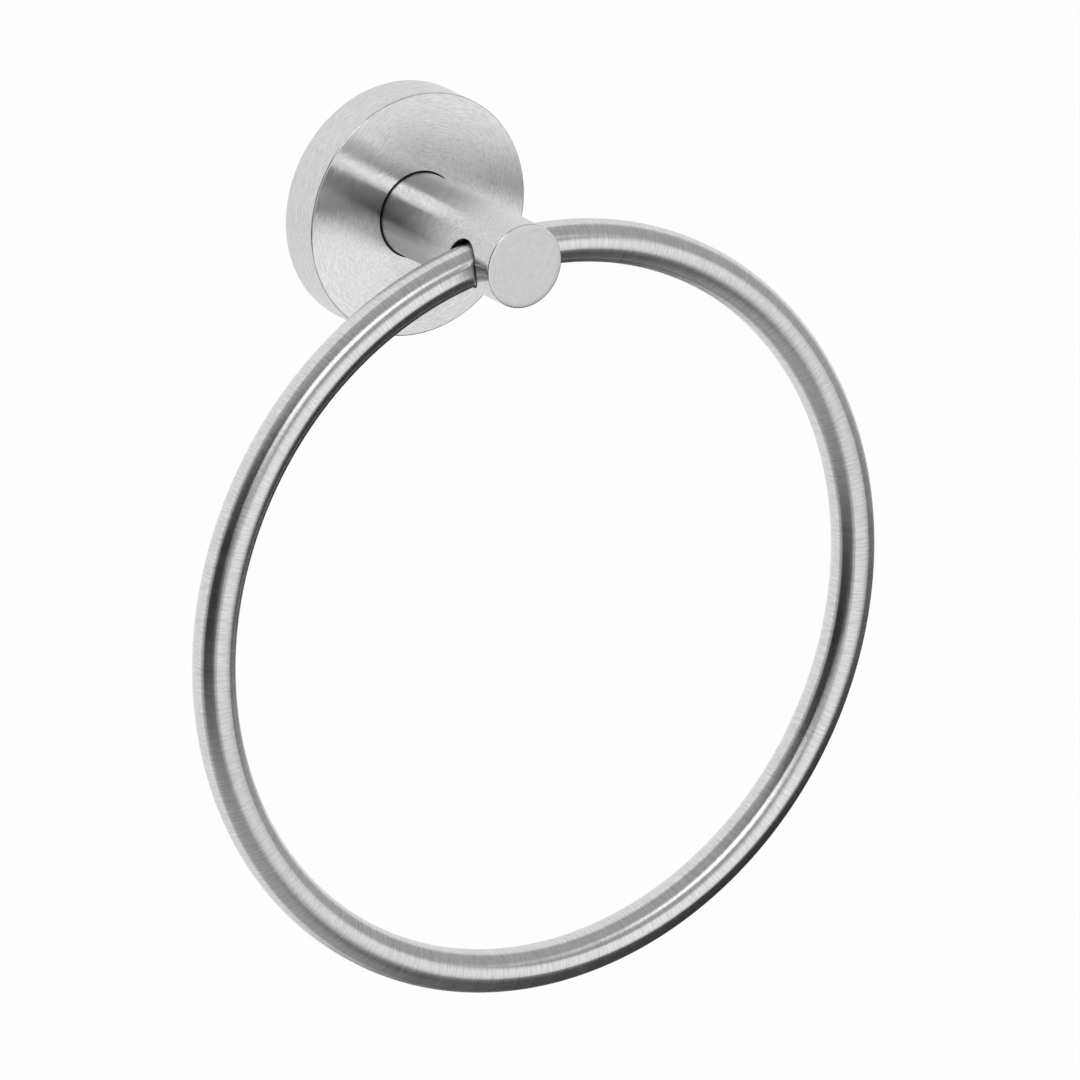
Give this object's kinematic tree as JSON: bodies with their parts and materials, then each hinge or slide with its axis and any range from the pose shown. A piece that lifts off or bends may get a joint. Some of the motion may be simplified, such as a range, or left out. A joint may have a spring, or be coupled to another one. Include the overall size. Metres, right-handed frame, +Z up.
{
  "type": "towel ring",
  "caption": "Wall-mounted towel ring: a round bar ring swings freely in the cross bore of a round post that stands out of a round cover flange fixed from inside to a wall bracket.",
  "frame": {"origin": "centre of the flange and of the two wall screws' slots, on the wall plane", "axes": "+Z up, +X to the right of a person facing the wall, +Y into the wall; the object stands out of the wall towards -Y"},
  "size_m": [0.165, 0.051, 0.1866],
  "materials": {
    "brushed_steel": "brushed stainless steel, fine grain round the axis of each turned piece",
    "bracket_steel": "as machined",
    "screw_steel": "plain stainless fasteners"
  },
  "bodies": {
    "wall_mount": {"cover_flange": "brushed_steel", "wall_bracket": "bracket_steel", "flange_grub_screw": "screw_steel", "post": "brushed_steel", "post_screw": "screw_steel", "post_lock_washer": "screw_steel"},
    "hanging_ring": {"ring": "brushed_steel"}
  },
  "joints": [
    {"name": "ring_swing", "type": "hinge", "parent": "wall_mount", "child": "hanging_ring", "pos_m": [0, -0.041, -0.0003], "axis": [-1, 0, 0], "range_deg": [-13.5, 193.5]}
  ]
}
